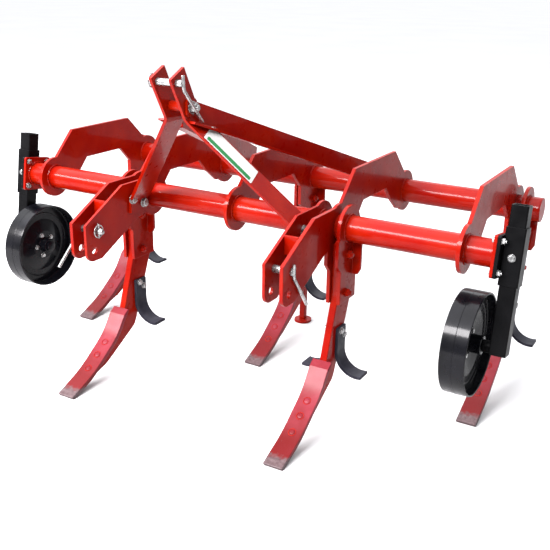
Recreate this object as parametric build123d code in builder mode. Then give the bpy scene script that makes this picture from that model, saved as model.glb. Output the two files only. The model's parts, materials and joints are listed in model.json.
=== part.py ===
from build123d import *
from math import cos, radians, sin
import os

os.makedirs("parts", exist_ok=True)

# Subsoiler in millimetres: X across the machine, -Y the way it is pulled, Z up from the ground.
# Outlines in the side view are (back, up) from the axis of the cross tube that carries the piece.

# Frame tubes
tube_diameter = 101.6
tube_wall = 8.0
tube_height = 780.0
row_gap = 670.0
seat_gap = 0.2

# Rows of shanks
shank_pitch = 500.0
shank_thickness = 30.0
plate_thickness = 15.0
ring_radius = 90.0

# Heights of the wings above the ground
wing_top_height = 385.0
wing_bend_height = 287.0

# Arched plates and brackets
arch_height = 200.0
arch_front_run = 125.0
arch_rear_run = 145.0
arch_clearance = 57.0
crown_front_rise = 76.0
crown_rear_rise = 64.0
front_throat = [(212.0, arch_clearance), (163.0, 5.0), (45.0, -78.0)]
rear_throat_by_shank = [(-68.0, -160.0), (-139.0, -103.0), (-140.0, -18.0), (-213.0, arch_clearance)]
rear_throat_clear = [(-20.0, -62.0), (-92.0, -62.0), (-169.0, -4.0), (-230.0, arch_clearance)]
wing_clearance = 103.0
bracket_drop = tube_height - wing_top_height - wing_clearance
bracket_front = -66.0
bracket_back = 70.0
tongue_nose = [(-95.0, -30.0), (-95.0, -130.0), (-68.0, -160.0)]
rib_width = 36.0
rib_thickness = 12.0
rib_back = 30.0
rib_margin = 102.0
rib_drop = bracket_drop - rib_margin
rib_corner = (12.0, 22.0)

# Shanks
shank_front = -50.0
shank_back = 75.0
shank_knee = -265.0
shank_knee_radius = 200.0
heel_above_ground = [(-260.0, 62.0), (-62.0, 177.0)]
heel_radii = (200.0, 60.0, 200.0)
toe_back = -386.0

# Share and wings
share_width = 80.0
share_thickness = 20.0
share_reach = 512.0
share_lip = (32.0, 11.5)
seat_above_ground = [(-130.0, 273.0), (-211.0, 160.0), (-365.0, 51.0), (-504.0, -7.0)]
seat_radii = (300.0, 500.0)
wing_thickness = 12.0
wing_front = -60.0
wing_back = 10.0
wing_bend_radius = 84.0
wing_bend_angle = 102.0

# Lower hitch clevises
cheek_thickness = 12.0
clevis_gap = 57.0
hitch_reach = 432.0
hitch_pin_diameter = 28.4
pin_clearance = 0.4
hitch_nose_radius = 38.0
cheek_rise = 80.0
cheek_flat = 205.0
cheek_front_top = -38.0
cheek_drop = -192.0
cheek_heel = [(-117.0, -80.0), (-60.0, -67.0), (0.0, -60.0)]
pin_setback = 61.0
hole_setback = 45.0
cheek_toe = 87.0
cross_plate_setback = 129.0
hitch_pin_place = (pin_setback - hitch_reach, -71.0)
hitch_hole_place = (hole_setback - hitch_reach, -150.0)
cheek_toe_back = cheek_toe - hitch_reach
cross_plate_back = cross_plate_setback - hitch_reach
cross_plate_middle = -4.0
cross_plate_height = 72.0

# Mast
mast_gap = 72.0
mast_thickness = 12.0
top_pin_diameter = 25.4
top_pin_place = (-420.0, 543.0)
mast_bolt_place = (-345.0, 452.0)
spacer_diameter = 36.0
stay_web = 80.0
stay_flange = 40.0
stay_thickness = 8.0
stay_foot_across = 300.0
stay_foot_rise = 104.0
stay_tab = 60.0
stay_tab_corner = 9.0

# Pin handles
handle_diameter = 12.0
handle_head = 28.0
handle_neck = 22.0
handle_run = 100.0
handle_fall = 130.0

# Depth wheels
post_rake = 9.3
flange_size = 150.0
flange_thickness = 12.0
flange_corner = 6.0
sleeve_size = 70.0
sleeve_wall = 4.5
tube_corner = 3.5
sleeve_below = 100.0
sleeve_above = 105.0
post_size = 60.0
post_wall = 6.0
post_below = 350.0
post_above = 181.0
wheel_drop = 330.0
wheel_radius = 190.0
wheel_width = 93.0
wheel_side_gap = 5.5
rim_wall = 8.0
axle_diameter = 30.0
axle_clearance = 0.05

# Parking stand
leg_size = 30.0
leg_corner = 2.5
stand_wall = 5.0
stand_slide_gap = 0.5
stand_sleeve_height = 120.0
leg_top = 75.0
foot_diameter = 88.0
foot_thickness = 12.0

# Rear tube ends
rear_overhang = 80.0
cap_thickness = 5.0

# Values worked out from the ones above
tube_radius = tube_diameter / 2
plate_hole_radius = tube_radius + seat_gap
shank_half = shank_thickness / 2
shank_top = -(tube_radius + 5)
outer_row_face = 2 * shank_pitch - shank_half
front_tube_half = outer_row_face + wheel_width + 2 * wheel_side_gap
rear_tube_half = 2 * shank_pitch + rear_overhang
flange_outer = front_tube_half + flange_thickness
clamp_outer = flange_outer + flange_thickness
cheek_outer_face = shank_pitch - shank_half
clevis_outer = cheek_outer_face - plate_thickness
clevis_inner = clevis_outer - clevis_gap
cheek_inner_face = clevis_inner - cheek_thickness
mast_half = mast_gap / 2
mast_outer = mast_half + mast_thickness
sleeve_inner_size = sleeve_size - 2 * sleeve_wall
leg_sleeve_size = leg_size + 2 * (stand_slide_gap + stand_wall)
leg_across = -(shank_half + plate_thickness + leg_sleeve_size / 2)
leg_back = tube_radius + seat_gap + leg_sleeve_size / 2

# Seat line between shank and share, from the lip down to the point
seat_line = [(back, up - tube_height) for back, up in seat_above_ground]
shank_heel = [(back, up - tube_height) for back, up in heel_above_ground]

# The box of the whole machine is centred on the origin in Y
rear_reach = row_gap + leg_back + foot_diameter / 2
front_tube_y = (share_reach - rear_reach) / 2
rear_tube_y = front_tube_y + row_gap

# Rows: name, place across, tube, side of the shank that the arched plate is on
shank_rows = [
    ("front_left", -shank_pitch, front_tube_y, 1),
    ("front_right", shank_pitch, front_tube_y, -1),
    ("rear_left", -2 * shank_pitch, rear_tube_y, 1),
    ("rear_centre", 0.0, rear_tube_y, 1),
    ("rear_right", 2 * shank_pitch, rear_tube_y, -1),
]


def side_plane(across, tube_y):
    """Upright plane facing +X: local x runs back and local y runs up from a tube axis."""
    return Plane(origin=(across, tube_y, tube_height), x_dir=(0, 1, 0), z_dir=(1, 0, 0))


def front_plane(tube_y, back, across=0.0, side=1):
    """Upright plane across the machine: local x runs outward on its side, local y up."""
    origin = (across, tube_y + back, tube_height)
    return Plane(origin=origin, x_dir=(side, 0, 0), z_dir=(0, -side, 0))


def raked_plane(across):
    """Plane facing +X whose local y runs up along the raked wheel post."""
    rake = radians(post_rake)
    return Plane(origin=(across, front_tube_y, tube_height), x_dir=(0, cos(rake), -sin(rake)), z_dir=(1, 0, 0))


def save(part, name):
    part.label = name
    export_step(part, f"parts/{name}.step")


def save_pair(right, name):
    """Write the right-hand piece, and its mirror image on the left."""
    with BuildPart() as left:
        mirror(right.part, about=Plane.YZ)
    save(right.part, f"{name}_right")
    save(left.part, f"{name}_left")


def plate_low_face(across, side):
    """Low X of the plate that lies against one side of a shank."""
    if side > 0:
        return across + shank_half
    return across - shank_half - plate_thickness


def square_section(size, corner):
    """Square with its corners cut off, in the sketch that is being drawn."""
    section = Rectangle(size, size)
    chamfer(section.vertices(), corner)


# Cross tubes
with BuildPart() as front_tube:
    with BuildSketch(side_plane(-front_tube_half, front_tube_y)):
        Circle(tube_radius)
        Circle(tube_radius - tube_wall, mode=Mode.SUBTRACT)
    extrude(amount=2 * front_tube_half)
save(front_tube.part, "front_tube")

with BuildPart() as rear_tube:
    with BuildSketch(side_plane(-rear_tube_half, rear_tube_y)):
        Circle(tube_radius)
        Circle(tube_radius - tube_wall, mode=Mode.SUBTRACT)
    extrude(amount=2 * rear_tube_half)
save(rear_tube.part, "rear_tube")

with BuildPart() as rear_tube_caps:
    for face in (-rear_tube_half - cap_thickness, rear_tube_half):
        with BuildSketch(side_plane(face, rear_tube_y)):
            Circle(tube_radius)
        extrude(amount=cap_thickness)
save(rear_tube_caps.part, "rear_tube_caps")


def square_flange(low_face):
    """One square flange, turned with the raked post."""
    with BuildPart() as flange:
        with BuildSketch(raked_plane(low_face)):
            square_section(flange_size, flange_corner)
        extrude(amount=flange_thickness)
    return flange


with BuildPart() as end_flanges:
    add(square_flange(front_tube_half).part)
    add(square_flange(-flange_outer).part)
save(end_flanges.part, "end_flanges")


# Arched plates: the crown that joins the two tubes, with a tongue beside the shank
def crown_outline(shank_on_rear):
    """Crown over the gap between the tubes, from the front tube's axis."""
    top = [
        (0, crown_front_rise),
        (arch_front_run, arch_height),
        (row_gap - arch_rear_run, arch_height),
        (row_gap, crown_rear_rise),
    ]
    rear_throat = rear_throat_by_shank if shank_on_rear else rear_throat_clear
    return top + [(row_gap + back, up) for back, up in rear_throat] + front_throat


def tongue_outline():
    """Tongue that holds the shank, from the axis of its own tube."""
    return [
        (0, 0),
        *tongue_nose,
        (bracket_front, -bracket_drop),
        (bracket_back, -bracket_drop),
        (bracket_back, 0),
    ]


def cheek_outline():
    """Forward arm of a lower hitch clevis, from the front tube's axis."""
    return [
        (0, cheek_rise),
        (-cheek_flat, cheek_rise),
        (-hitch_reach, cheek_front_top),
        (-hitch_reach, cheek_drop),
        (cheek_toe_back, cheek_drop),
        *cheek_heel,
    ]


def drill(back, up, diameter):
    """Round hole in the side-view sketch that is being drawn."""
    with Locations((back, up)):
        Circle(diameter / 2, mode=Mode.SUBTRACT)


def clevis_holes():
    hole_diameter = hitch_pin_diameter + 2 * pin_clearance
    drill(*hitch_pin_place, hole_diameter)
    drill(*hitch_hole_place, hole_diameter)


def rib_sketch(across, tube_y, side):
    """Stiffening rib that stands out from the free face of a tongue."""
    face = across + side * (shank_half + plate_thickness)
    with BuildSketch(front_plane(tube_y, rib_back + rib_thickness / 2, face, side)) as rib:
        with BuildLine():
            Polyline(
                (0, 0),
                (rib_width, 0),
                (rib_width, rib_corner[1] - rib_drop),
                (rib_width - rib_corner[0], -rib_drop),
                (0, -rib_drop),
                close=True,
            )
        make_face()
    return rib.sketch


def tube_circle(across, tube_y):
    """Hole for a cross tube, on the low side of the plates near this place."""
    with BuildSketch(side_plane(across - 2 * rib_width, tube_y)) as hole:
        Circle(plate_hole_radius)
    return hole.sketch


def arched_plate(across, tube_y, side):
    shank_on_rear = tube_y == rear_tube_y
    tongue_shift = row_gap if shank_on_rear else 0
    with BuildPart() as plate:
        with BuildSketch(side_plane(plate_low_face(across, side), front_tube_y)) as outline:
            with BuildLine():
                Polyline(*crown_outline(shank_on_rear), close=True)
            make_face()
            with Locations((0, 0), (row_gap, 0)):
                Circle(ring_radius)
            with BuildLine():
                Polyline(*[(back + tongue_shift, up) for back, up in tongue_outline()], close=True)
            make_face()
            if not shank_on_rear:
                with BuildLine():
                    Polyline(*cheek_outline(), close=True)
                make_face()
                nose = outline.vertices().sort_by(Axis.X)[0:2].sort_by(Axis.Y)[0]
                fillet(nose, hitch_nose_radius)
                clevis_holes()
        extrude(amount=plate_thickness)
        extrude(rib_sketch(across, tube_y, side), amount=rib_thickness / 2, both=True)
        extrude(tube_circle(across, front_tube_y), amount=4 * rib_width, mode=Mode.SUBTRACT)
        extrude(tube_circle(across, rear_tube_y), amount=4 * rib_width, mode=Mode.SUBTRACT)
    return plate


def bracket_plate(across, tube_y, side):
    with BuildPart() as plate:
        with BuildSketch(side_plane(plate_low_face(across, side), tube_y)):
            Circle(ring_radius)
            with BuildLine():
                Polyline(*tongue_outline(), close=True)
            make_face()
        extrude(amount=plate_thickness)
        extrude(rib_sketch(across, tube_y, side), amount=rib_thickness / 2, both=True)
        extrude(tube_circle(across, tube_y), amount=4 * rib_width, mode=Mode.SUBTRACT)
    return plate


# Shank, share and wings
def shank(across, tube_y):
    """Thick bar that curves forward and thins to a toe behind the share."""
    lip, point = seat_line[0], seat_line[-1]
    with BuildPart() as bar:
        with BuildSketch(side_plane(across - shank_half, tube_y)):
            with BuildLine():
                FilletPolyline((shank_front, shank_top), (shank_front, shank_knee), lip, radius=shank_knee_radius)
                FilletPolyline(*seat_line, radius=seat_radii)
                FilletPolyline(point, *shank_heel, (shank_back, shank_knee), (shank_back, shank_top), radius=heel_radii)
                Line((shank_back, shank_top), (shank_front, shank_top))
            make_face()
            with Locations((toe_back, -tube_height)):
                Rectangle(share_reach, tube_height, align=(Align.MAX, Align.CENTER), mode=Mode.SUBTRACT)
        extrude(amount=shank_thickness)
    return bar


def share(across, tube_y):
    """Curved bar on the front of the shank, with a bevelled lip and a ground point."""
    with BuildPart() as bar:
        with BuildSketch(side_plane(across - share_width / 2, tube_y)) as profile:
            with BuildLine():
                FilletPolyline(*seat_line, radius=seat_radii)
                offset(amount=share_thickness, side=Side.RIGHT)
            make_face()
            with Locations((-share_reach, -tube_height - share_thickness)):
                Rectangle(share_reach, 2 * share_thickness, mode=Mode.SUBTRACT)
            top_corner = profile.vertices().sort_by(Axis.Y)[-1]
            chamfer(top_corner, share_lip[1], share_lip[0])
        extrude(amount=share_width)
    return bar


def wings(across, tube_y):
    """Pair of bent blades, one against each side of the shank."""
    with BuildPart() as pair:
        for side in (-1, 1):
            middle = (wing_front + wing_back) / 2
            with BuildSketch(front_plane(tube_y, middle, across, side)):
                with BuildLine():
                    bend_start = (shank_half, wing_bend_height - tube_height)
                    Line((shank_half, wing_top_height - tube_height), bend_start)
                    JernArc(bend_start, (0, -1), wing_bend_radius + wing_thickness, wing_bend_angle)
                    offset(amount=wing_thickness, side=Side.LEFT)
                make_face()
            extrude(amount=(wing_back - wing_front) / 2, both=True)
    return pair


for place, across, tube_y, side in shank_rows:
    save(arched_plate(across, tube_y, side).part, f"arch_plate_{place}")
    save(shank(across, tube_y).part, f"shank_{place}")
    save(share(across, tube_y).part, f"share_{place}")

with BuildPart() as bracket_plates:
    for place, across, tube_y, side in shank_rows:
        add(bracket_plate(across, tube_y, -side).part)
save(bracket_plates.part, "bracket_plates")

with BuildPart() as all_wings:
    for place, across, tube_y, side in shank_rows:
        add(wings(across, tube_y).part)
save(all_wings.part, "wings")

# Inner cheeks of the lower hitch clevises, and the plates between the cheeks
with BuildPart() as hitch_cheek:
    with BuildSketch(side_plane(cheek_inner_face, front_tube_y)) as outline:
        with BuildLine():
            Polyline(*cheek_outline(), close=True)
        make_face()
        nose = outline.vertices().sort_by(Axis.X)[0:2].sort_by(Axis.Y)[0]
        fillet(nose, hitch_nose_radius)
        Circle(ring_radius)
        Circle(plate_hole_radius, mode=Mode.SUBTRACT)
        clevis_holes()
    extrude(amount=cheek_thickness)

with BuildPart() as hitch_cheeks:
    add(hitch_cheek.part)
    mirror(hitch_cheek.part, about=Plane.YZ)
save(hitch_cheeks.part, "hitch_cheeks")

with BuildPart() as hitch_cross_plates:
    for low_face in (clevis_inner, -clevis_outer):
        with BuildSketch(side_plane(low_face, front_tube_y)):
            with Locations((cross_plate_back + cheek_thickness / 2, cross_plate_middle)):
                Rectangle(cheek_thickness, cross_plate_height)
        extrude(amount=clevis_gap)
save(hitch_cross_plates.part, "hitch_cross_plates")


# Hitch pins with bent rod handles
def handled_pin(pin_place, low, high, diameter, rod_across, bend, turn):
    """Pin along X from low to high, with a bent rod through its handle end.

    The rod's long leg is bent back (1) or forward (-1), and the rod is turned about the pin in degrees.
    """
    with BuildPart() as pin:
        with BuildSketch(side_plane(low, front_tube_y)):
            with Locations(pin_place):
                Circle(diameter / 2)
        extrude(amount=high - low)
        middle = side_plane(rod_across, front_tube_y).from_local_coords(Vector(*pin_place, 0))
        lean = radians(turn)
        with BuildLine(Plane(origin=middle, x_dir=(0, cos(lean), sin(lean)), z_dir=(1, 0, 0))) as route:
            Polyline((0, handle_head), (0, -handle_neck), (bend * handle_run, -handle_neck - handle_fall))
        with BuildSketch(Plane(origin=route.line @ 0, z_dir=route.line % 0)):
            Circle(handle_diameter / 2)
        sweep(path=route.line, transition=Transition.RIGHT)
    return pin


hitch_pin_low = cheek_inner_face - 22
hitch_rod = cheek_outer_face + handle_diameter / 2 + 3
with BuildPart() as hitch_pins:
    add(handled_pin(hitch_pin_place, hitch_pin_low, hitch_rod, hitch_pin_diameter, hitch_rod, 1, 0).part)
    add(handled_pin(hitch_pin_place, -hitch_rod, -hitch_pin_low, hitch_pin_diameter, -hitch_rod, -1, -10).part)
save(hitch_pins.part, "hitch_pins")

top_rod = mast_outer + stay_thickness + handle_diameter / 2 + 13
top_link_pin = handled_pin(top_pin_place, -mast_outer - 20, top_rod, top_pin_diameter, top_rod, 1, 4)
save(top_link_pin.part, "top_link_pin")

# Mast bars: bent flat bars, upright at the top link and flared out to the clevis cheeks
mast_bend = 407.0
mast_foot_bend = 5.0
mast_foot = -45.0
mast_bend_radius = 24.0
mast_line = [
    (mast_outer, 620),
    (mast_outer, mast_bend),
    (cheek_inner_face, mast_foot_bend),
    (cheek_inner_face, mast_foot - 10),
]
mast_side_outline = [
    (-376, 594),
    (-454, 556),
    (-371, mast_bend),
    (-169, mast_foot_bend),
    (-169, mast_foot),
    (-56, mast_foot),
    (-56, mast_foot_bend + 13),
    (-262, mast_bend - 3),
    (-311, 471),
]

with BuildPart() as mast_bar:
    with BuildSketch(front_plane(front_tube_y, 0)):
        with BuildLine():
            FilletPolyline(*mast_line, radius=mast_bend_radius)
            offset(amount=mast_thickness, side=Side.RIGHT)
        make_face()
    extrude(amount=600, both=True)
    with BuildSketch(side_plane(0, front_tube_y)):
        with BuildLine():
            Polyline(*mast_side_outline, close=True)
        make_face()
        drill(*top_pin_place, top_pin_diameter + 2 * pin_clearance)
    extrude(amount=cheek_inner_face, mode=Mode.INTERSECT)
save_pair(mast_bar, "mast_bar")

with BuildPart() as mast_spacer:
    with BuildSketch(side_plane(-mast_half, front_tube_y)):
        with Locations(mast_bolt_place):
            Circle(spacer_diameter / 2)
    extrude(amount=mast_gap)
save(mast_spacer.part, "mast_spacer")

# Long stays: angle bars from the mast bolt to the top of the rear tube
stay_front = Vector(mast_outer + stay_thickness, mast_bolt_place[0] + 13, mast_bolt_place[1] + 22)
stay_rear = Vector(stay_foot_across, row_gap, stay_foot_rise)
stay_run = stay_rear - stay_front
stay_cut_back = -225.0
stay_inward = Vector(-stay_run.Y, stay_run.X, 0)
stay_origin = stay_front + Vector(0, front_tube_y, tube_height)

with BuildPart() as stay:
    with BuildSketch(Plane(origin=stay_origin, x_dir=stay_inward, z_dir=stay_run)):
        Rectangle(stay_thickness, stay_web, align=(Align.MIN, Align.MAX))
        with Locations((stay_thickness, -stay_web + stay_thickness)):
            Rectangle(stay_flange, stay_thickness, align=(Align.MAX, Align.MAX))
    extrude(amount=stay_run.length)
    with BuildSketch(front_plane(front_tube_y, stay_cut_back)):
        with BuildLine():
            FilletPolyline(*mast_line[0:3], radius=mast_bend_radius)
            Polyline(mast_line[2], (-cheek_inner_face, mast_foot_bend), (-cheek_inner_face, mast_line[0][1]), mast_line[0])
        make_face()
    extrude(amount=hitch_reach, mode=Mode.SUBTRACT)
    with BuildSketch(side_plane(mast_outer, front_tube_y)):
        with Locations(mast_bolt_place):
            square_section(stay_tab, stay_tab_corner)
    extrude(amount=stay_thickness)
    with BuildSketch(side_plane(0, rear_tube_y)):
        Circle(plate_hole_radius)
    extrude(amount=2 * stay_foot_across, mode=Mode.SUBTRACT)
save_pair(stay, "stay")

# Depth wheel posts: a sleeve bolted to the flange, a post that slides in it, and a stub axle
sleeve_across = clamp_outer + sleeve_size / 2


def post_plane(along):
    """Plane square to the raked post of the right-hand wheel, this far up its axis."""
    rake = radians(post_rake)
    axis = Vector(0, sin(rake), cos(rake))
    origin = Vector(sleeve_across, front_tube_y, tube_height) + axis * along
    return Plane(origin=origin, x_dir=(1, 0, 0), z_dir=axis)


with BuildPart() as post_sleeve:
    add(square_flange(flange_outer).part)
    with BuildSketch(post_plane(-sleeve_below)):
        square_section(sleeve_size, tube_corner)
        Rectangle(sleeve_inner_size, sleeve_inner_size, mode=Mode.SUBTRACT)
    extrude(amount=sleeve_below + sleeve_above)
save_pair(post_sleeve, "post_sleeve")

wheel_across = (outer_row_face + front_tube_half) / 2
wheel_inner = wheel_across - wheel_width / 2
axle_end = wheel_inner - 8
hub_outer = wheel_across + wheel_width / 2 + 6
post_inner_face = sleeve_across - post_size / 2
rake_angle = radians(post_rake)
wheel_y = front_tube_y - wheel_drop * sin(rake_angle)
wheel_z = tube_height - wheel_drop * cos(rake_angle)


def axle_plane(across):
    """Plane facing +X on the wheel's axle."""
    return Plane(origin=(across, wheel_y, wheel_z), x_dir=(0, 1, 0), z_dir=(1, 0, 0))


with BuildPart() as wheel_post:
    with BuildSketch(post_plane(-post_below)):
        square_section(post_size, tube_corner)
        Rectangle(post_size - 2 * post_wall, post_size - 2 * post_wall, mode=Mode.SUBTRACT)
    extrude(amount=post_below + post_above)
    with BuildSketch(axle_plane(hub_outer + 1)):
        Circle(axle_diameter / 2 + 8)
    extrude(amount=post_inner_face - hub_outer - 1 + post_wall)
    with BuildSketch(axle_plane(axle_end)):
        Circle(axle_diameter / 2)
    extrude(amount=post_inner_face - axle_end + post_wall)
save_pair(wheel_post, "wheel_post")

# Depth wheel: rolled rim, dished disc and a plain hub
hub_radius = 34.0
hub_length = hub_outer - axle_end - 6
disc_inner = wheel_across - 12
disc_thickness = 8.0
disc_dish = 16.0
disc_bends = (66.0, 122.0)
disc_plane = Plane(origin=(disc_inner, wheel_y, wheel_z), x_dir=(1, 0, 0), z_dir=(0, -1, 0))

with BuildPart() as depth_wheel:
    with BuildSketch(axle_plane(wheel_inner)):
        Circle(wheel_radius)
        Circle(wheel_radius - rim_wall, mode=Mode.SUBTRACT)
    extrude(amount=wheel_width)
    with BuildSketch(disc_plane):
        with BuildLine():
            disc_rim = wheel_radius - rim_wall / 2
            inner_face = [(0, 0), (0, disc_bends[0]), (disc_dish, disc_bends[1]), (disc_dish, disc_rim)]
            outer_face = [(across + disc_thickness, up) for across, up in reversed(inner_face)]
            Polyline(*inner_face, *outer_face, close=True)
        make_face()
    revolve(axis=Axis((0, wheel_y, wheel_z), (1, 0, 0)))
    with BuildSketch(axle_plane(hub_outer - hub_length)):
        Circle(hub_radius)
    extrude(amount=hub_length)
    with BuildSketch(axle_plane(axle_end)):
        Circle(axle_diameter / 2 + axle_clearance)
    extrude(amount=2 * wheel_width, mode=Mode.SUBTRACT)
save_pair(depth_wheel, "depth_wheel")


# Parking stand behind the rear tube
def leg_plane(up):
    return Plane(origin=(leg_across, rear_tube_y + leg_back, tube_height + up), z_dir=(0, 0, 1))


with BuildPart() as stand_sleeve:
    with BuildSketch(leg_plane(-stand_sleeve_height / 2)):
        square_section(leg_sleeve_size, leg_corner)
        Rectangle(leg_size + 2 * stand_slide_gap, leg_size + 2 * stand_slide_gap, mode=Mode.SUBTRACT)
    extrude(amount=stand_sleeve_height)
save(stand_sleeve.part, "stand_sleeve")

with BuildPart() as stand_leg:
    with BuildSketch(leg_plane(foot_thickness - tube_height)):
        square_section(leg_size, leg_corner)
    extrude(amount=tube_height - foot_thickness + leg_top)
    with BuildSketch(leg_plane(-tube_height)):
        Circle(foot_diameter / 2)
    extrude(amount=foot_thickness)
save(stand_leg.part, "stand_leg")
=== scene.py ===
import json
from math import acos, cos, pi, radians, sin, tan

import bmesh
import bpy
from mathutils import Matrix, Vector
from mathutils.bvhtree import BVHTree


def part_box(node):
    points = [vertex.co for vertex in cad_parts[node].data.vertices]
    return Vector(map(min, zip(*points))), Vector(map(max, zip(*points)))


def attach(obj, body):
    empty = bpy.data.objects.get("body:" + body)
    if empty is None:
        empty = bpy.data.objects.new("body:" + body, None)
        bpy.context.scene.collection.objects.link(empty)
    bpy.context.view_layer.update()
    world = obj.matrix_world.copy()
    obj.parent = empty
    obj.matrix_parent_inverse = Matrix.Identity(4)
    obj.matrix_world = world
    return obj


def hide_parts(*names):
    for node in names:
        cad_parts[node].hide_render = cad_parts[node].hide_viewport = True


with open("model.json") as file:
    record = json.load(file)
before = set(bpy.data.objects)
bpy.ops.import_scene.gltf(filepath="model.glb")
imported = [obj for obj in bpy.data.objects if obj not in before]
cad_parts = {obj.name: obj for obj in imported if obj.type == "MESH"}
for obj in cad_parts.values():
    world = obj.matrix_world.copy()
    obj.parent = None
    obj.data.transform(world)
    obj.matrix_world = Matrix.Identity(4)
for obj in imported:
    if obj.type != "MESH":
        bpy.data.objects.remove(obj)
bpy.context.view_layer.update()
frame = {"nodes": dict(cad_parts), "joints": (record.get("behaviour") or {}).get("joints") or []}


def middle(node):
    low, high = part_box(node)
    return (low + high) / 2


# Axes of the two cross tubes, from which every small part is placed
front_axis = middle("front_tube")
rear_axis = middle("rear_tube")
tube_radius = (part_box("front_tube")[1].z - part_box("front_tube")[0].z) / 2
shank_half = 0.015
plate_thickness = 0.015
plate_outer = shank_half + plate_thickness

# Rows of shanks: name, place across, tube axis, side of the shank that its arched plate is on
row_names = ("front_left", "front_right", "rear_left", "rear_centre", "rear_right")
rows = []
for row_name in row_names:
    row_across = middle(f"shank_{row_name}").x
    plate_side = 1 if middle(f"arch_plate_{row_name}").x > row_across else -1
    row_axis = front_axis if row_name.startswith("front") else rear_axis
    rows.append((row_name, row_across, row_axis, plate_side))


def at(axis, across, back, up):
    """Point this far across the machine, and behind and above a tube's axis."""
    return Vector((across, axis.y + back, axis.z + up))


# Colours: the dark and the light end of each cloudy mix, and the paler colour painted on its upward faces
# as a sheen of the sky
red = ((0.155, 0.0014, 0.0001), (0.19, 0.0045, 0.0003))
red_top_sheen = (0.28, 0.04, 0.03)
black = ((0.001, 0.001, 0.0012), (0.0028, 0.0028, 0.0032))
black_top_sheen = (0.03, 0.03, 0.034)
share_red = ((0.105, 0.006, 0.009), (0.135, 0.013, 0.02))
share_low_red = (0.07, 0.0015, 0.0012)
share_steel = ((0.045, 0.026, 0.028), (0.085, 0.058, 0.06))
wing_grey = ((0.01, 0.01, 0.015), (0.022, 0.022, 0.03))
zinc_grey = ((0.2, 0.2, 0.2), (0.42, 0.42, 0.415))
wheel_black = ((0.0008, 0.0008, 0.0014), (0.003, 0.003, 0.0045))
label_white = (0.42, 0.425, 0.41)
label_green = (0.006, 0.12, 0.03)
floor_grey = ((0.475, 0.475, 0.475), (0.495, 0.495, 0.495))

# Heights over which the paint of a share darkens, and over which it is worn off
low_red_band = (0.12, 0.06)
bare_band = (0.033, 0.024)

# Mirroring that is left to the paint under its glossy coat
under_coat_specular = 0.04


# Materials
def node_tree(name):
    material = bpy.data.materials.new(name)
    material.use_nodes = True
    nodes = material.node_tree.nodes
    nodes.clear()
    shader = nodes.new("ShaderNodeBsdfPrincipled")
    output = nodes.new("ShaderNodeOutputMaterial")
    material.node_tree.links.new(shader.outputs["BSDF"], output.inputs["Surface"])
    return material, material.node_tree, shader


def noise(tree, scale, detail=3.0, stretch=(1.0, 1.0, 1.0)):
    """Noise in the object's own space, stretched along its axes."""
    coordinates = tree.nodes.new("ShaderNodeTexCoord")
    mapping = tree.nodes.new("ShaderNodeMapping")
    mapping.inputs["Scale"].default_value = stretch
    texture = tree.nodes.new("ShaderNodeTexNoise")
    texture.inputs["Scale"].default_value = scale
    texture.inputs["Detail"].default_value = detail
    tree.links.new(coordinates.outputs["Object"], mapping.inputs["Vector"])
    tree.links.new(mapping.outputs["Vector"], texture.inputs["Vector"])
    return texture.outputs["Fac"]


def spread(tree, value, low, high, low_to=0.0, high_to=1.0):
    """Value from low to high, spread over low_to to high_to and held there."""
    ramp = tree.nodes.new("ShaderNodeMapRange")
    ramp.inputs["From Min"].default_value = low
    ramp.inputs["From Max"].default_value = high
    ramp.inputs["To Min"].default_value = low_to
    ramp.inputs["To Max"].default_value = high_to
    tree.links.new(value, ramp.inputs["Value"])
    return ramp.outputs["Result"]


def mix(tree, share, first, second):
    """Colour that goes from first to second; each is a colour or a socket."""
    blend = tree.nodes.new("ShaderNodeMix")
    blend.data_type = "RGBA"
    tree.links.new(share, blend.inputs["Factor"])
    for name, colour in (("A", first), ("B", second)):
        socket = next(s for s in blend.inputs if s.name == name and s.type == "RGBA")
        if isinstance(colour, tuple):
            socket.default_value = (*colour, 1.0)
        else:
            tree.links.new(colour, socket)
    return next(s for s in blend.outputs if s.type == "RGBA")


def height(tree):
    """Height above the ground of the point, in the object's own space."""
    coordinates = tree.nodes.new("ShaderNodeTexCoord")
    parts = tree.nodes.new("ShaderNodeSeparateXYZ")
    tree.links.new(coordinates.outputs["Object"], parts.inputs["Vector"])
    return parts.outputs["Z"]


def upward(tree):
    """How far the surface faces up, from -1 to 1."""
    geometry = tree.nodes.new("ShaderNodeNewGeometry")
    parts = tree.nodes.new("ShaderNodeSeparateXYZ")
    tree.links.new(geometry.outputs["Normal"], parts.inputs["Vector"])
    return parts.outputs["Z"]


def combine(tree, first, second, operation):
    math_node = tree.nodes.new("ShaderNodeMath")
    math_node.operation = operation
    tree.links.new(first, math_node.inputs[0])
    tree.links.new(second, math_node.inputs[1])
    return math_node.outputs["Value"]


def clouds(tree, scale, detail=3.0, low=0.3, high=0.7):
    """Soft patches that go from 0 to 1."""
    return spread(tree, noise(tree, scale, detail), low, high)


def base_colour(tree, shader, share, first, second):
    tree.links.new(mix(tree, share, first, second), shader.inputs["Base Color"])


def roughness(tree, shader, scale, low, high):
    """Roughness that wanders from low to high."""
    tree.links.new(spread(tree, noise(tree, scale), 0.3, 0.7, low, high), shader.inputs["Roughness"])


def bump(tree, shader, height_value, strength, distance):
    node = tree.nodes.new("ShaderNodeBump")
    node.inputs["Strength"].default_value = strength
    node.inputs["Distance"].default_value = distance
    tree.links.new(height_value, node.inputs["Height"])
    tree.links.new(node.outputs["Normal"], shader.inputs["Normal"])


def coat(shader, weight, roughness):
    """Clear glossy skin that does nearly all of the mirroring."""
    shader.inputs["Specular IOR Level"].default_value = under_coat_specular
    shader.inputs["Coat Weight"].default_value = weight
    shader.inputs["Coat Roughness"].default_value = roughness


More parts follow.
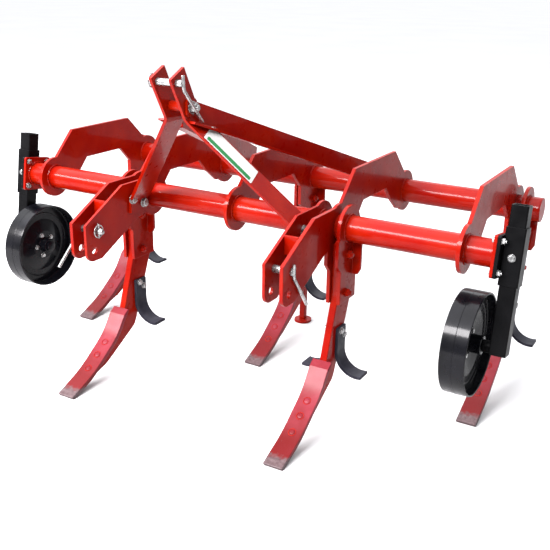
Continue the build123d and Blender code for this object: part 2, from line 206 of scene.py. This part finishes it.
def paint(name, deep, bright, top_sheen_colour, rough, coat_weight):
    """Sprayed paint: cloudy colour, a painted sky sheen that lightens what faces up in patches, and a faint
    orange-peel skin.
    """
    material, tree, shader = node_tree(name)
    body = mix(tree, clouds(tree, 9.0, low=0.35, high=0.68), deep, bright)
    # Painted highlight: upward faces are lightened in patches toward the sheen colour
    top_sheen_mask = combine(tree, spread(tree, upward(tree), 0.7, 1.0, 0.0, 0.1), noise(tree, 38.0), "MULTIPLY")
    base_colour(tree, shader, top_sheen_mask, body, top_sheen_colour)
    roughness(tree, shader, 24.0, rough - 0.05, rough + 0.08)
    bump(tree, shader, noise(tree, 70.0, 2.0), 0.05, 0.0004)
    coat(shader, coat_weight, 0.05)
    return material


def share_paint_material():
    """Light red paint, darker low down, worn to bare steel at the point and scuffed all over."""
    material, tree, shader = node_tree("share_paint")
    sprayed = mix(tree, clouds(tree, 14.0, low=0.35, high=0.65), *share_red)
    painted = mix(tree, spread(tree, height(tree), *low_red_band, 0.0, 0.8), sprayed, share_low_red)
    steel = mix(tree, clouds(tree, 90.0), *share_steel)
    ragged = spread(tree, noise(tree, 60.0, 5.0), 0.25, 0.75, -0.005, 0.005)
    bare = spread(tree, combine(tree, height(tree), ragged, "ADD"), *bare_band)
    scuffs = spread(tree, noise(tree, 120.0, 6.0, (1.0, 0.35, 0.35)), 0.68, 0.76, 0.0, 0.4)
    base_colour(tree, shader, combine(tree, bare, scuffs, "MAXIMUM"), painted, steel)
    roughness(tree, shader, 30.0, 0.3, 0.45)
    bump(tree, shader, noise(tree, 150.0), 0.12, 0.001)
    coat(shader, 0.15, 0.28)
    return material


def wing_material():
    """Charcoal coating over rolled steel, with a slight grain along the blade."""
    material, tree, shader = node_tree("wing_steel")
    base_colour(tree, shader, clouds(tree, 26.0, 5.0), *wing_grey)
    roughness(tree, shader, 45.0, 0.32, 0.48)
    bump(tree, shader, noise(tree, 210.0, 3.0, (1.0, 0.3, 1.0)), 0.15, 0.0008)
    coat(shader, 0.09, 0.35)
    return material


def zinc_material():
    """Zinc plate with fine turning marks and cloudy passivation."""
    material, tree, shader = node_tree("zinc")
    base_colour(tree, shader, clouds(tree, 60.0, 4.0), *zinc_grey)
    roughness(tree, shader, 130.0, 0.2, 0.34)
    shader.inputs["Metallic"].default_value = 0.92
    bump(tree, shader, noise(tree, 420.0, 2.0, (0.2, 1.0, 1.0)), 0.1, 0.0004)
    return material


def wheel_material():
    """Glossy black paint, slightly cloudy, with a fine grain."""
    material, tree, shader = node_tree("wheel_paint")
    base_colour(tree, shader, clouds(tree, 12.0, 4.0), *wheel_black)
    roughness(tree, shader, 34.0, 0.24, 0.4)
    bump(tree, shader, noise(tree, 190.0, 3.0), 0.08, 0.0006)
    coat(shader, 0.24, 0.12)
    return material


def label_material(name, colour):
    """Printed film: one plain colour with a slightly uneven gloss."""
    material, tree, shader = node_tree(name)
    faint = tuple(0.94 * part for part in colour)
    base_colour(tree, shader, clouds(tree, 40.0), faint, colour)
    roughness(tree, shader, 80.0, 0.28, 0.36)
    coat(shader, 0.3, 0.15)
    return material


def floor_material():
    material, tree, shader = node_tree("studio_floor")
    base_colour(tree, shader, clouds(tree, 0.6), *floor_grey)
    shader.inputs["Roughness"].default_value = 0.9
    shader.inputs["Specular IOR Level"].default_value = 0.0
    return material


materials = {
    "red_paint": paint("red_paint", *red, red_top_sheen, 0.3, 0.14),
    "share_paint": share_paint_material(),
    "wing_steel": wing_material(),
    "black_paint": paint("black_paint", *black, black_top_sheen, 0.36, 0.05),
    "wheel_paint": wheel_material(),
    "zinc": zinc_material(),
    "label_white": label_material("label_white", label_white),
    "label_green": label_material("label_green", label_green),
}


# Carried-over solids: a material for each slot, and rolled or ground edges by modifiers
edge_rounding = {
    "shank": 0.003,
    "arch": 0.0018,
    "share": 0.002,
    "depth": 0.004,
    "post": 0.0025,
    "wheel": 0.0025,
}
usual_rounding = 0.0016
solid_edge_angle = radians(40)
flat_angle = radians(0.5)
same_point = 0.00001


def dress(node):
    for index, slot in enumerate(node.material_slots):
        slot.material = materials[node.data.materials[index].name.split(".")[0]]
    weld = node.modifiers.new("weld", "WELD")
    weld.merge_threshold = same_point
    flatten = node.modifiers.new("flatten", "DECIMATE")
    flatten.decimate_type = "DISSOLVE"
    flatten.angle_limit = flat_angle
    rounding = node.modifiers.new("rounding", "BEVEL")
    rounding.width = edge_rounding.get(node.name.split("_")[0], usual_rounding)
    rounding.segments = 2
    rounding.limit_method = "ANGLE"
    rounding.angle_limit = solid_edge_angle
    rounding.harden_normals = False
    shading = node.modifiers.new("shading", "WEIGHTED_NORMAL")
    shading.keep_sharp = True


for cad_node in frame["nodes"].values():
    dress(cad_node)


# Small mesh helpers
piece_edge_angle = radians(32)


def facing(place, direction):
    """Matrix that puts a form's own Z along this direction at this place."""
    turn = Vector(direction).to_track_quat("Z", "Y").to_matrix().to_4x4()
    return Matrix.Translation(place) @ turn


def drum(mesh, matrix, radius, start, end, end_radius=None, sides=32):
    """Round, tapered or many-sided bar along the matrix's own Z."""
    shift = Matrix.Translation((0, 0, (start + end) / 2))
    bmesh.ops.create_cone(
        mesh,
        cap_ends=True,
        segments=sides,
        radius1=radius,
        radius2=radius if end_radius is None else end_radius,
        depth=end - start,
        matrix=matrix @ shift,
    )


def ring_points(radius, rise, count):
    """Points round the Z axis at this height."""
    turns = [2 * pi * index / count for index in range(count)]
    return [Vector((radius * cos(turn), radius * sin(turn), rise)) for turn in turns]


def lathe(mesh, matrix, profile, sides=32):
    """Profile of (radius, height) turned about the matrix's own Z; its ends are on that axis."""
    loops = []
    for radius, rise in profile:
        if radius == 0:
            loops.append([mesh.verts.new(matrix @ Vector((0, 0, rise)))] * sides)
        else:
            loops.append([mesh.verts.new(matrix @ point) for point in ring_points(radius, rise, sides)])
    for low, high in zip(loops, loops[1:]):
        for side in range(sides):
            after = (side + 1) % sides
            corners = dict.fromkeys((low[side], low[after], high[after], high[side]))
            mesh.faces.new(tuple(corners))


def dome(mesh, matrix, radius, rise, sides=28, rings=5):
    """Shallow round cap, its edge in the matrix's own XY plane."""
    angles = [pi / 2 * ring / rings for ring in range(rings)]
    profile = [(0, 0)] + [(radius * cos(a), rise * sin(a)) for a in angles] + [(0, rise)]
    lathe(mesh, matrix, profile, sides)


def sweep(mesh, points, radius, sides=14, closed=False):
    """Round rod along these points, with flat ends unless it is closed."""
    count = len(points)
    rings = []
    normal = None
    for index, point in enumerate(points):
        before = points[index - 1] if index > 0 or closed else points[index]
        after = points[(index + 1) % count] if index < count - 1 or closed else points[index]
        along = (after - before).normalized()
        if normal is None:
            normal = along.orthogonal().normalized()
        normal = (normal - along * normal.dot(along)).normalized()
        across = along.cross(normal)
        ring = []
        for side in range(sides):
            turn = 2 * pi * side / sides
            ring.append(mesh.verts.new(point + radius * (cos(turn) * normal + sin(turn) * across)))
        rings.append(ring)
    pairs = list(zip(rings, rings[1:]))
    if closed:
        pairs.append((rings[-1], rings[0]))
    for first, second in pairs:
        for side in range(sides):
            other = (side + 1) % sides
            mesh.faces.new((first[side], first[other], second[other], second[side]))
    if not closed:
        mesh.faces.new(rings[0][::-1])
        mesh.faces.new(rings[-1])


def bend(corners, radius, steps=7):
    """Points along straight runs whose corners are rounded to this radius."""
    route = [corners[0]]
    for before, corner, after in zip(corners, corners[1:], corners[2:]):
        arrive = (corner - before).normalized()
        leave = (after - corner).normalized()
        turn = arrive.angle(leave)
        back = radius * tan(turn / 2)
        start = corner - arrive * back
        inward = (leave - arrive * leave.dot(arrive)).normalized()
        for step in range(steps + 1):
            angle = turn * step / steps
            route.append(start + arrive * radius * sin(angle) + inward * radius * (1 - cos(angle)))
    route.append(corners[-1])
    return route


def circle(place, normal, radius, count=40):
    """Points round a circle about this place."""
    matrix = facing(place, normal)
    return [matrix @ point for point in ring_points(radius, 0, count)]


def piece(name, mesh, slot, body, rounding=0.0006, material=None):
    """Finished object from this mesh, riding on a body of the frame."""
    bmesh.ops.recalc_face_normals(mesh, faces=mesh.faces[:])
    data = bpy.data.meshes.new(name)
    mesh.to_mesh(data)
    mesh.free()
    for face in data.polygons:
        face.use_smooth = True
    data.set_sharp_from_angle(angle=piece_edge_angle)
    thing = bpy.data.objects.new(name, data)
    bpy.context.scene.collection.objects.link(thing)
    data.materials.append(materials[material or slot])
    if rounding:
        edges = thing.modifiers.new("rounding", "BEVEL")
        edges.width = rounding
        edges.segments = 2
        edges.limit_method = "ANGLE"
        edges.angle_limit = piece_edge_angle
    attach(thing, body)
    return thing


# Hexagon heads and nuts, all as shares of the bolt's diameter
washer_radius = 1.05
washer_top = 0.14
hexagon_radius = 0.92
head_top = 0.68
nut_top = 0.86
crown_low_radius = 0.9
crown_high_radius = 0.72
crown_rise = 0.12
end_radius = 0.48
end_top = 1.22
tip_radius = 0.38
tip_top = 1.32


def hexagon(mesh, matrix, size, top):
    """Washer, six-sided body up to this share of the size, and a bevelled crown."""
    drum(mesh, matrix, washer_radius * size, 0.0, washer_top * size)
    drum(mesh, matrix, hexagon_radius * size, washer_top * size, top * size, sides=6)
    crown_top = (top + crown_rise) * size
    drum(mesh, matrix, crown_low_radius * size, top * size, crown_top, crown_high_radius * size, sides=6)


def hex_head(mesh, place, direction, size):
    """Hexagon bolt head on a washer; size is the bolt's diameter."""
    hexagon(mesh, facing(place, direction), size, head_top)


def hex_nut(mesh, place, direction, size):
    """Hexagon nut on a washer, with the bolt's end standing out."""
    matrix = facing(place, direction)
    hexagon(mesh, matrix, size, nut_top)
    drum(mesh, matrix, end_radius * size, (nut_top + crown_rise) * size, end_top * size, sides=20)
    drum(mesh, matrix, end_radius * size, end_top * size, tip_top * size, tip_radius * size, sides=20)


# Bolts of the shank clamps, painted over with the frame
clamp_bolt_places = ((-0.012, -0.1), (-0.012, -0.255))
clamp_bolt = 0.018

mesh = bmesh.new()
for _, across, axis, _ in rows:
    for back, up in clamp_bolt_places:
        hex_nut(mesh, at(axis, across + plate_outer, back, up), (1, 0, 0), clamp_bolt)
        hex_head(mesh, at(axis, across - plate_outer, back, up), (-1, 0, 0), clamp_bolt)
piece("clamp_bolts", mesh, "red_paint", "frame")

# Weld beads where the plates meet the tubes
weld_radius = tube_radius + 0.003
weld_bead = 0.0042
weld_steps = 72
cheek_thickness = 0.012
cheek_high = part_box("hitch_cheeks")[1].x
cheek_low = cheek_high - cheek_thickness
tube_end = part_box("front_tube")[1].x

# Size, waves in a turn and start of each ripple in a bead's radius, and of its wander along the tube
coarse_ripple = (0.012, 19, 0.0)
fine_ripple = (0.006, 43, 1.3)
wander = (0.0006, 31, 0.0)


def wave(turn, size, count, start):
    return size * sin(count * turn + start)


def weld_ring(mesh, axis, across):
    """Uneven bead round a tube."""
    centre = Vector((across, axis.y, axis.z))
    points = []
    for index in range(weld_steps):
        turn = 2 * pi * index / weld_steps
        reach = weld_radius * (1 + wave(turn, *coarse_ripple) + wave(turn, *fine_ripple))
        points.append(centre + Vector((wave(turn, *wander), reach * cos(turn), reach * sin(turn))))
    sweep(mesh, points, weld_bead, sides=8, closed=True)


mesh = bmesh.new()
for _, across, axis, side in rows:
    arch_outer = across + side * plate_outer
    bracket_outer = across - side * plate_outer
    for tube_axis in (front_axis, rear_axis):
        weld_ring(mesh, tube_axis, arch_outer)
        if tube_axis is axis:
            weld_ring(mesh, tube_axis, bracket_outer)
        else:
            weld_ring(mesh, tube_axis, across + side * shank_half)
for side in (-1, 1):
    for across in (cheek_low, cheek_high, tube_end):
        weld_ring(mesh, front_axis, side * across)
piece("weld_beads", mesh, "red_paint", "frame", rounding=0)

# Wing bolts
wing_bolt_places = ((-0.036, -0.409), (-0.009, -0.432))
wing_thickness = 0.012
wing_outer = shank_half + wing_thickness
wing_bolt = 0.0135

mesh = bmesh.new()
for _, across, axis, _ in rows:
    for back, up in wing_bolt_places:
        hex_head(mesh, at(axis, across + wing_outer, back, up), (1, 0, 0), wing_bolt)
        hex_nut(mesh, at(axis, across - wing_outer, back, up), (-1, 0, 0), wing_bolt)
piece("wing_bolts", mesh, "zinc", "frame")

# Share bolts: domed heads on the front face, each with a thin darker ring round it as painted shade of its
# recess, and nuts behind the shank
# For each bolt, back and up of a point in the shank, then of one ahead of the share
share_bolt_lines = (
    ((-0.193, -0.706), (-0.330, -0.520)),
    ((-0.257, -0.734), (-0.380, -0.560)),
    ((-0.328, -0.759), (-0.430, -0.610)),
)
share_head_radius = 0.0115
share_head_rise = 0.003
shade_ring_radius = 0.0145
shade_ring_bead = 0.0016
share_nut = 0.009
nut_search = 0.2


def surface(node):
    """Search tree over a carried-over solid, in the frame's own place."""
    solid = frame["nodes"][node]
    corners = [solid.matrix_world @ v.co for v in solid.data.vertices]
    return BVHTree.FromPolygons(corners, [tuple(face.vertices) for face in solid.data.polygons])


heads = bmesh.new()
shade_rings = bmesh.new()
nuts = bmesh.new()
for row_name, across, axis, _ in rows:
    share_surface = surface(f"share_{row_name}")
    shank_surface = surface(f"shank_{row_name}")
    for inside, ahead in share_bolt_lines:
        inner, outer = at(axis, across, *inside), at(axis, across, *ahead)
        inward = (inner - outer).normalized()
        head_place, outward = share_surface.ray_cast(outer, inward)[:2]
        # Painted shade: a thin ring of the darker red paint round the head stands for the shade in its
        # recess
        shade_circle = circle(head_place, outward, shade_ring_radius, 32)
        sweep(shade_rings, shade_circle, shade_ring_bead, sides=8, closed=True)
        dome(heads, facing(head_place, outward), share_head_radius, share_head_rise)
        nut_place, rearward = shank_surface.ray_cast(inner - outward * nut_search, outward)[:2]
        hex_nut(nuts, nut_place, rearward, share_nut)
piece("share_bolt_heads", heads, "share_paint", "frame", rounding=0)
piece("share_bolt_rims", shade_rings, "red_paint", "frame", rounding=0)
piece("share_nuts", nuts, "red_paint", "frame")

# Bolts of the mast: its feet on the clevis cheeks, and the bolt through the spacer and stays
mast_foot_places = ((-0.088, -0.014), (-0.158, 0.014))
mast_foot_bolt = 0.02
mast_foot_inner = 0.389
mast_bolt_place = (-0.345, 0.452)
mast_bolt = 0.022
mast_outer = 0.048
stay_thickness = 0.008

mesh = bmesh.new()
for side in (-1, 1):
    for back, up in mast_foot_places:
        hex_head(mesh, at(front_axis, side * mast_foot_inner, back, up), (-side, 0, 0), mast_foot_bolt)
        hex_nut(mesh, at(front_axis, side * cheek_high, back, up), (side, 0, 0), mast_foot_bolt)
hex_head(mesh, at(front_axis, -mast_outer - stay_thickness, *mast_bolt_place), (-1, 0, 0), mast_bolt)
hex_nut(mesh, at(front_axis, mast_outer + stay_thickness, *mast_bolt_place), (1, 0, 0), mast_bolt)
piece("mast_bolts", mesh, "zinc", "frame")

# Bolts of the wheel flanges, turned with the raked posts
slide_axis = Vector(next(j["axis"] for j in frame["joints"] if j["name"] == "post_right_slide"))
rake = acos(slide_axis.z)
flange_bolt_reach = 0.055
flange_bolt = 0.012
flange_thickness = 0.012
flange_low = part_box("end_flanges")[1].x - flange_thickness
flange_high = flange_low + 2 * flange_thickness


def on_flange(side, across, back, up):
    """Point on a wheel flange; back and up are measured in the plane that is turned with the post."""
    turned_back = back * cos(rake) + up * sin(rake)
    turned_up = up * cos(rake) - back * sin(rake)
    return at(front_axis, side * across, turned_back, turned_up)


mesh = bmesh.new()
for side in (-1, 1):
    for back in (-flange_bolt_reach, flange_bolt_reach):
        for up in (-flange_bolt_reach, flange_bolt_reach):
            hex_head(mesh, on_flange(side, flange_low, back, up), (-side, 0, 0), flange_bolt)
            hex_nut(mesh, on_flange(side, flange_high, back, up), (side, 0, 0), flange_bolt)
piece("flange_bolts", mesh, "zinc", "frame")

# Set screws in the front of the post sleeves
sleeve_half = 0.035
sleeve_across = flange_high + sleeve_half
sleeve_screw = 0.0135

mesh = bmesh.new()
for side in (-1, 1):
    front_place = on_flange(side, sleeve_across, -sleeve_half, 0)
    forward = on_flange(side, sleeve_across, -1, 0) - on_flange(side, sleeve_across, 0, 0)
    hex_head(mesh, front_place, forward, sleeve_screw)
piece("sleeve_screws", mesh, "zinc", "frame")


# Hitch pins with bent rods: the smooth form of the solids that they stand for
hitch_pin_place = (-0.371, -0.071)
hitch_pin_radius = 0.0142
hitch_pin_inner = 0.379
hitch_rod = 0.494
top_pin_place = (-0.420, 0.543)
top_pin_radius = 0.0127
top_pin_low = -mast_outer - 0.02
top_rod = 0.075
top_rod_lean = radians(4)
left_rod_lean = radians(-10)
pin_shoulder = 0.002

# Back and up of a rod's corners from the pin's axis
rod_corners = ((0.0, 0.028), (0.0, -0.022), (0.1, -0.152))
rod_bend = 0.028
rod_radius = 0.006

# Blunt tips of the lower pins, and the linchpins with their rings
nose_length = 0.008
nose_radius = 0.011
nose_rise = 0.005
linchpin_inset = 0.011
linchpin_wire = 0.0024
peg_radius = 0.0042
peg_above = 0.006
peg_below = 0.003
hitch_ring_radius = 0.0245
top_ring_radius = 0.021


def handled_pin(mesh, place, low, high, radius, rod_across, lean, forward):
    """Pin along X with a bent rod through one end; lean turns the rod about the pin."""
    matrix = facing(at(front_axis, 0, *place), (1, 0, 0))
    inner_low, inner_high = low + pin_shoulder, high - pin_shoulder
    drum(mesh, matrix, radius, inner_low, inner_high)
    drum(mesh, matrix, radius - pin_shoulder, low, inner_low, radius)
    drum(mesh, matrix, radius, inner_high, high, radius - pin_shoulder)
    corners = []
    for back, up in rod_corners:
        turned_back = forward * back * cos(lean) - up * sin(lean)
        turned_up = forward * back * sin(lean) + up * cos(lean)
        corners.append(at(front_axis, rod_across, place[0] + turned_back, place[1] + turned_up))
    sweep(mesh, bend(corners, rod_bend), rod_radius)


def linchpin(mesh, place, out, radius):
    """Ring of a linchpin hanging round the end of a pin, with its peg through the pin."""
    sweep(mesh, circle(place, out, radius), linchpin_wire, sides=8, closed=True)
    peg = facing(place + Vector((0, 0, radius)), (0, 0, -1))
    drum(mesh, peg, peg_radius, -peg_above, 2 * radius + peg_below)


mesh = bmesh.new()
for side, lean in ((1, 0.0), (-1, left_rod_lean)):
    low, high = sorted((side * hitch_pin_inner, side * hitch_rod))
    handled_pin(mesh, hitch_pin_place, low, high, hitch_pin_radius, side * hitch_rod, lean, side)
for side in (-1, 1):
    end = at(front_axis, side * hitch_pin_inner, *hitch_pin_place)
    drum(mesh, facing(end, (-side, 0, 0)), hitch_pin_radius, 0.0, nose_length, nose_radius)
    dome(mesh, facing(end - Vector((side * nose_length, 0, 0)), (-side, 0, 0)), nose_radius, nose_rise)
    linchpin(mesh, end + Vector((side * linchpin_inset, 0, 0)), (side, 0, 0), hitch_ring_radius)
hitch_pins = piece("hitch_pins_smooth", mesh, "zinc", "frame")
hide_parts("hitch_pins")

mesh = bmesh.new()
handled_pin(mesh, top_pin_place, top_pin_low, top_rod, top_pin_radius, top_rod, top_rod_lean, 1)
linchpin(mesh, at(front_axis, -mast_outer - linchpin_inset, *top_pin_place), (1, 0, 0), top_ring_radius)
top_pin = piece("top_link_pin_smooth", mesh, "zinc", "frame")
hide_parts("top_link_pin")

# Depth wheels: bolts of the disc, its pressed ring and weld, hub cap, and the seam round the tread
wheel_nut = 0.011
wheel_nut_reach = 0.05
wheel_nut_count = 5
disc_half = 0.004
disc_inset = 0.008
dish = 0.016
pressed_ring = 0.15
rim_weld = 0.1812
ring_bead = 0.003
seam_sink = 0.0002
seam_bead = 0.0011
cap_radius = 0.024
axle_clear = 0.017

# Radius and height of each point of the hub cap's outline
cap_outline = (
    (0, 0.008),
    (axle_clear, 0.008),
    (axle_clear, 0.0),
    (cap_radius, 0.0),
    (cap_radius, 0.008),
    (0.8 * cap_radius, 0.0115),
    (0.4 * cap_radius, 0.0135),
    (0, 0.0135),
)

for side, name in ((-1, "left"), (1, "right")):
    low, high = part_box(f"depth_wheel_{name}")
    wheel_radius = (high.z - low.z) / 2
    centre = Vector(next(j["pos_m"] for j in frame["joints"] if j["name"] == f"wheel_{name}_spin"))
    disc = [centre + Vector((out * disc_half - side * disc_inset, 0, 0)) for out in (-1, 1)]
    mesh = bmesh.new()
    for index in range(wheel_nut_count):
        turn = 2 * pi * (index + 0.5) / wheel_nut_count
        reach = Vector((0, wheel_nut_reach * cos(turn), wheel_nut_reach * sin(turn)))
        for out, face in zip((-1, 1), disc):
            hex_head(mesh, face + reach, (out, 0, 0), wheel_nut)
    piece(f"wheel_nuts_{name}", mesh, "zinc", f"wheel_{name}")

    mesh = bmesh.new()
    seam = circle(centre, (1, 0, 0), wheel_radius - seam_sink, 96)
    sweep(mesh, seam, seam_bead, sides=6, closed=True)
    for reach in (pressed_ring, rim_weld):
        for face in disc:
            outer_zone = face + Vector((side * dish, 0, 0))
            sweep(mesh, circle(outer_zone, (1, 0, 0), reach, 72), ring_bead, sides=8, closed=True)
    inboard = low.x if side > 0 else high.x
    lathe(mesh, facing(Vector((inboard, centre.y, centre.z)), (-side, 0, 0)), cap_outline)
    piece(f"wheel_trim_{name}", mesh, "wheel_paint", f"wheel_{name}", rounding=0)

# Nuts on the left face and the back of the parking stand's sleeve
stand_low, stand_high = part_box("stand_sleeve")
stand_middle = middle("stand_sleeve")
stand_nut = 0.014
stand_nut_up = 0.02

mesh = bmesh.new()
hex_nut(mesh, Vector((stand_low.x, stand_middle.y, stand_middle.z + stand_nut_up)), (-1, 0, 0), stand_nut)
hex_nut(mesh, Vector((stand_middle.x, stand_high.y, stand_middle.z - stand_nut_up)), (0, 1, 0), stand_nut)
piece("stand_screws", mesh, "zinc", "frame")

# Label on the flared right mast bar: white film with a green stripe and no lettering
flare_top = Vector((0.048, front_axis.y - 0.252, front_axis.z + 0.407))
flare_down = Vector((0.6598, 0.0, -0.7514))
flare_out = Vector((0.7514, 0.0, 0.6598))
flare_back = Vector((0.0, 0.3815, 0.0))
label_along = (flare_down + flare_back).normalized()
label_across = flare_out.cross(label_along)
label_drop = 0.169
label_middle = flare_top + flare_down * label_drop
label_size = (0.236, 0.09)
label_lift = 0.0002
stripe_inset = 0.012
stripe_span = (0.006, 0.027)
stripe_lift = 0.0006
film_corner = 0.004
film_corner_steps = 4
film_thickness = 0.0003


def film(name, along_low, along_high, across_low, across_high, lift, finish):
    """Thin sheet on the mast bar, with rounded corners; measured from the label's middle."""
    mesh = bmesh.new()
    points = []
    for along, across, start in (
        (along_high, across_high, 0),
        (along_low, across_high, 1),
        (along_low, across_low, 2),
        (along_high, across_low, 3),
    ):
        inner_along = along + (film_corner if along < 0 else -film_corner)
        inner_across = across + (film_corner if across == across_low else -film_corner)
        for step in range(film_corner_steps + 1):
            angle = (start + step / film_corner_steps) * pi / 2
            points.append((inner_along + film_corner * cos(angle), inner_across + film_corner * sin(angle)))
    base = label_middle + flare_out * lift
    places = [base + label_along * a + label_across * b for a, b in points]
    lower = [mesh.verts.new(place) for place in places]
    upper = [mesh.verts.new(place + flare_out * film_thickness) for place in places]
    mesh.faces.new(lower)
    mesh.faces.new(upper)
    for index in range(len(places)):
        after = (index + 1) % len(places)
        mesh.faces.new((lower[index], lower[after], upper[after], upper[index]))
    return piece(name, mesh, "red_paint", "frame", rounding=0, material=finish)


half_long, half_wide = label_size[0] / 2, label_size[1] / 2
stripe_half = half_long - stripe_inset
stripe_low, stripe_high = (edge - half_wide for edge in stripe_span)
film("label", -half_long, half_long, -half_wide, half_wide, label_lift, "label_white")
film("label_stripe", -stripe_half, stripe_half, stripe_low, stripe_high, stripe_lift, "label_green")

# Floor
floor_half = 400
floor_squares = 8
floor_drop = 0.0005

floor_mesh = bmesh.new()
bmesh.ops.create_grid(floor_mesh, x_segments=floor_squares, y_segments=floor_squares, size=floor_half)
floor_data = bpy.data.meshes.new("studio_floor")
floor_mesh.to_mesh(floor_data)
floor_mesh.free()
floor = bpy.data.objects.new("studio_floor", floor_data)
floor.location.z = -floor_drop
floor_data.materials.append(floor_material())
bpy.context.scene.collection.objects.link(floor)


# Camera
camera_place = (1.772, -2.86575, 1.681)
camera_turns = (0.521, 0.3486, 0.017)


def turned(yaw, pitch, roll):
    """Axes of a camera that looks along +Y, then turned left, down and over."""
    ahead = Vector((-sin(yaw) * cos(pitch), cos(yaw) * cos(pitch), -sin(pitch)))
    right = Vector((cos(yaw), sin(yaw), 0))
    up = right.cross(ahead)
    level = right * cos(roll) + up * sin(roll)
    upright = up * cos(roll) - right * sin(roll)
    return Matrix((level, upright, -ahead)).transposed().to_4x4()


camera_data = bpy.data.cameras.new("photo_camera")
camera_data.sensor_width = 36
camera_data.lens = 53.99
camera_data.shift_x = -0.0004
camera_data.shift_y = -0.0038
camera_data.clip_end = 200
camera = bpy.data.objects.new("photo_camera", camera_data)
camera.matrix_world = Matrix.Translation(camera_place) @ turned(*camera_turns)
bpy.context.scene.collection.objects.link(camera)
bpy.context.scene.camera = camera


# Lights: name, place, point aimed at, size, watts and colour
lamps = (
    ("overhead", (-1.8, -1.1, 4.8), (-1.8, -1.1, 0), (7.0, 5.6), 300, (0.97, 0.97, 1.0)),
    ("strip", (-2.2, -3.7, 3.45), (-2.2, -0.1, 0.8), (6.0, 1.2), 1350, (1.0, 0.97, 0.99)),
    ("front_left", (-3.4, -4.6, 3.2), (0, 0, 0.5), (3.0, 2.4), 20, (1.0, 0.95, 0.9)),
    ("behind", (-1.0, 5.2, 3.6), (0, 0, 0.6), (4.0, 2.0), 70, (0.95, 0.98, 1.0)),
)


def soft_light(name, place, aim, size, power, colour):
    light = bpy.data.lights.new(name, "AREA")
    light.shape = "RECTANGLE"
    light.size, light.size_y = size
    light.energy = power
    light.color = colour
    lamp = bpy.data.objects.new(name, light)
    lamp.location = place
    lamp.rotation_mode = "QUATERNION"
    lamp.rotation_quaternion = (Vector(aim) - Vector(place)).to_track_quat("-Z", "Y")
    bpy.context.scene.collection.objects.link(lamp)


for lamp_values in lamps:
    soft_light(*lamp_values)

# Sky: brightness by height, its tint, and its strength at the left and at the right
sky_steps = ((0.0, 0.24), (0.2, 0.26), (0.45, 0.45), (0.7, 0.95), (1.0, 0.9))
sky_tint = (0.98, 0.99, 1.02)
sky_strengths = (4.0, 1.5)

world = bpy.data.worlds.new("studio_sky")
world.use_nodes = True
sky = world.node_tree
sky.nodes.clear()
direction = sky.nodes.new("ShaderNodeTexCoord")
parts = sky.nodes.new("ShaderNodeSeparateXYZ")
ramp = sky.nodes.new("ShaderNodeValToRGB")
background = sky.nodes.new("ShaderNodeBackground")
world_output = sky.nodes.new("ShaderNodeOutputWorld")
sky.links.new(direction.outputs["Generated"], parts.inputs["Vector"])
sky.links.new(parts.outputs["Z"], ramp.inputs["Fac"])
sky.links.new(ramp.outputs["Color"], background.inputs["Color"])
sky.links.new(background.outputs["Background"], world_output.inputs["Surface"])
ramp.color_ramp.elements.remove(ramp.color_ramp.elements[1])
for step, (position, level) in enumerate(sky_steps):
    element = ramp.color_ramp.elements[0] if step == 0 else ramp.color_ramp.elements.new(position)
    element.position = position
    element.color = (*(part * level for part in sky_tint), 1)
strength = spread(sky, parts.outputs["X"], -1.0, 1.0, *sky_strengths)
sky.links.new(strength, background.inputs["Strength"])
bpy.context.scene.world = world
bpy.context.scene.view_settings.view_transform = "Standard"
